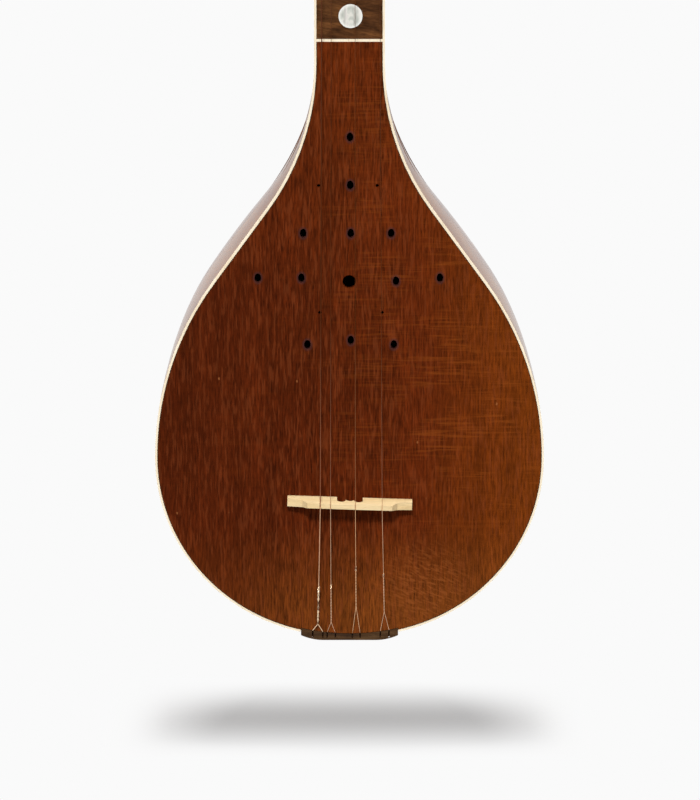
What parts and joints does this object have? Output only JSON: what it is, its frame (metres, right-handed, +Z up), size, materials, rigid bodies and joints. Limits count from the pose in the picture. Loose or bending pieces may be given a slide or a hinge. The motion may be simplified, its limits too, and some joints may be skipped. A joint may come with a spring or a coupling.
{
  "type": "setar",
  "caption": "Long-necked lute with a pear-shaped bowl of bent ribs, wooden soundboard, tied sliding gut frets, movable bridge and turning friction pegs.",
  "frame": {"origin": "middle of the flat foot of the tailpiece, level with the front of the soundboard", "axes": "+Z up along the neck from the tail to the head, -Y out of the soundboard towards the viewer, +X to the viewer's right"},
  "size_m": [0.1602, 0.1608, 0.8296],
  "materials": {
    "bowl_wood": "varnished satin, straight grain along each rib",
    "soundboard_wood": "oiled satin mulberry with silky cross figure",
    "block_wood": "raw, unvarnished",
    "neck_wood": "oiled satin walnut",
    "fingerboard_wood": "oiled satin walnut, open pores",
    "peg_wood": "polished dark hardwood",
    "bridge_wood": "bare pale boxwood",
    "tailpiece_wood": "bare dark hardwood",
    "bone": "cream bone strip, satin",
    "bone_nut": "polished bone",
    "pearl": "polished mother-of-pearl",
    "gut": "translucent tied gut",
    "steel_wire": "bright drawn wire",
    "brass_wire": "bright drawn wire",
    "bronze_winding": "close-wound bronze"
  },
  "bodies": {
    "lute": {"rib_01": "bowl_wood", "rib_02": "bowl_wood", "rib_03": "bowl_wood", "rib_04": "bowl_wood", "rib_05": "bowl_wood", "rib_06": "bowl_wood", "rib_07": "bowl_wood", "rib_08": "bowl_wood", "rib_09": "bowl_wood", "rib_10": "bowl_wood", "rib_11": "bowl_wood", "tail_block": "block_wood", "neck_block": "block_wood", "cross_brace": "block_wood", "soundboard": "soundboard_wood", "edge_binding": "bone", "joint_strip": "bone", "neck": "neck_wood", "fingerboard": "fingerboard_wood", "pearl_dot": "pearl", "nut": "bone_nut", "tailpiece": "tailpiece_wood", "string_bass": "bronze_winding", "string_zang": "steel_wire", "string_brass": "brass_wire", "string_steel": "steel_wire"},
    "turning_peg_bass": {"peg_bass": "peg_wood", "winding_bass": "bronze_winding"},
    "turning_peg_zang": {"peg_zang": "peg_wood", "winding_zang": "steel_wire"},
    "turning_peg_brass": {"peg_brass": "peg_wood", "winding_brass": "brass_wire"},
    "turning_peg_steel": {"peg_steel": "peg_wood", "winding_steel": "steel_wire"},
    "sliding_bridge": {"bridge": "bridge_wood"},
    "tied_fret_01": {"fret_01": "gut"},
    "tied_fret_02": {"fret_02": "gut"},
    "tied_fret_03": {"fret_03": "gut"},
    "tied_fret_04": {"fret_04": "gut"},
    "tied_fret_05": {"fret_05": "gut"},
    "tied_fret_06": {"fret_06": "gut"},
    "tied_fret_07": {"fret_07": "gut"},
    "tied_fret_08": {"fret_08": "gut"},
    "tied_fret_09": {"fret_09": "gut"},
    "tied_fret_10": {"fret_10": "gut"},
    "tied_fret_11": {"fret_11": "gut"},
    "tied_fret_12": {"fret_12": "gut"},
    "tied_fret_13": {"fret_13": "gut"},
    "tied_fret_14": {"fret_14": "gut"},
    "tied_fret_15": {"fret_15": "gut"},
    "tied_fret_16": {"fret_16": "gut"},
    "tied_fret_17": {"fret_17": "gut"},
    "tied_fret_18": {"fret_18": "gut"},
    "tied_fret_19": {"fret_19": "gut"},
    "tied_fret_20": {"fret_20": "gut"},
    "tied_fret_21": {"fret_21": "gut"},
    "tied_fret_22": {"fret_22": "gut"},
    "tied_fret_23": {"fret_23": "gut"},
    "tied_fret_24": {"fret_24": "gut"},
    "tied_fret_25": {"fret_25": "gut"}
  },
  "joints": [
    {"name": "turn_bass", "type": "hinge", "parent": "lute", "child": "turning_peg_bass", "pos_m": [-0.0123, 0.013, 0.7756], "axis": [-1, 0, 0], "continuous": true},
    {"name": "turn_zang", "type": "hinge", "parent": "lute", "child": "turning_peg_zang", "pos_m": [-0.0123, 0.013, 0.7376], "axis": [-1, 0, 0], "continuous": true},
    {"name": "turn_brass", "type": "hinge", "parent": "lute", "child": "turning_peg_brass", "pos_m": [0, 0.004, 0.7556], "axis": [0, -1, 0], "continuous": true},
    {"name": "turn_steel", "type": "hinge", "parent": "lute", "child": "turning_peg_steel", "pos_m": [0, 0.004, 0.7976], "axis": [0, -1, 0], "continuous": true},
    {"name": "bridge_slide", "type": "slide", "parent": "lute", "child": "sliding_bridge", "axis": [0, 0, 1], "range_m": [-0.003, 0.003], "deforming": ["string_bass", "string_zang", "string_brass", "string_steel"]},
    {"name": "fret_01_slide", "type": "slide", "parent": "lute", "child": "tied_fret_01", "axis": [0, 0, 1], "range_m": [-0.0025, 0.0025]},
    {"name": "fret_02_slide", "type": "slide", "parent": "lute", "child": "tied_fret_02", "axis": [0, 0, 1], "range_m": [-0.0025, 0.0025]},
    {"name": "fret_03_slide", "type": "slide", "parent": "lute", "child": "tied_fret_03", "axis": [0, 0, 1], "range_m": [-0.0025, 0.0025]},
    {"name": "fret_04_slide", "type": "slide", "parent": "lute", "child": "tied_fret_04", "axis": [0, 0, 1], "range_m": [-0.0025, 0.0025]},
    {"name": "fret_05_slide", "type": "slide", "parent": "lute", "child": "tied_fret_05", "axis": [0, 0, 1], "range_m": [-0.0025, 0.0025]},
    {"name": "fret_06_slide", "type": "slide", "parent": "lute", "child": "tied_fret_06", "axis": [0, 0, 1], "range_m": [-0.0025, 0.0025]},
    {"name": "fret_07_slide", "type": "slide", "parent": "lute", "child": "tied_fret_07", "axis": [0, 0, 1], "range_m": [-0.0025, 0.0025]},
    {"name": "fret_08_slide", "type": "slide", "parent": "lute", "child": "tied_fret_08", "axis": [0, 0, 1], "range_m": [-0.0025, 0.0025]},
    {"name": "fret_09_slide", "type": "slide", "parent": "lute", "child": "tied_fret_09", "axis": [0, 0, 1], "range_m": [-0.0025, 0.0025]},
    {"name": "fret_10_slide", "type": "slide", "parent": "lute", "child": "tied_fret_10", "axis": [0, 0, 1], "range_m": [-0.0025, 0.0025]},
    {"name": "fret_11_slide", "type": "slide", "parent": "lute", "child": "tied_fret_11", "axis": [0, 0, 1], "range_m": [-0.0025, 0.0025]},
    {"name": "fret_12_slide", "type": "slide", "parent": "lute", "child": "tied_fret_12", "axis": [0, 0, 1], "range_m": [-0.0025, 0.0025]},
    {"name": "fret_13_slide", "type": "slide", "parent": "lute", "child": "tied_fret_13", "axis": [0, 0, 1], "range_m": [-0.0025, 0.0025]},
    {"name": "fret_14_slide", "type": "slide", "parent": "lute", "child": "tied_fret_14", "axis": [0, 0, 1], "range_m": [-0.0025, 0.0025]},
    {"name": "fret_15_slide", "type": "slide", "parent": "lute", "child": "tied_fret_15", "axis": [0, 0, 1], "range_m": [-0.0025, 0.0025]},
    {"name": "fret_16_slide", "type": "slide", "parent": "lute", "child": "tied_fret_16", "axis": [0, 0, 1], "range_m": [-0.0025, 0.0025]},
    {"name": "fret_17_slide", "type": "slide", "parent": "lute", "child": "tied_fret_17", "axis": [0, 0, 1], "range_m": [-0.0025, 0.0025]},
    {"name": "fret_18_slide", "type": "slide", "parent": "lute", "child": "tied_fret_18", "axis": [0, 0, 1], "range_m": [-0.0025, 0.0025]},
    {"name": "fret_19_slide", "type": "slide", "parent": "lute", "child": "tied_fret_19", "axis": [0, 0, 1], "range_m": [-0.0025, 0.0025]},
    {"name": "fret_20_slide", "type": "slide", "parent": "lute", "child": "tied_fret_20", "axis": [0, 0, 1], "range_m": [-0.0025, 0.0025]},
    {"name": "fret_21_slide", "type": "slide", "parent": "lute", "child": "tied_fret_21", "axis": [0, 0, 1], "range_m": [-0.0025, 0.0025]},
    {"name": "fret_22_slide", "type": "slide", "parent": "lute", "child": "tied_fret_22", "axis": [0, 0, 1], "range_m": [-0.0025, 0.0025]},
    {"name": "fret_23_slide", "type": "slide", "parent": "lute", "child": "tied_fret_23", "axis": [0, 0, 1], "range_m": [-0.0025, 0.0025]},
    {"name": "fret_24_slide", "type": "slide", "parent": "lute", "child": "tied_fret_24", "axis": [0, 0, 1], "range_m": [-0.0025, 0.0025]},
    {"name": "fret_25_slide", "type": "slide", "parent": "lute", "child": "tied_fret_25", "axis": [0, 0, 1], "range_m": [-0.0025, 0.0025]}
  ]
}
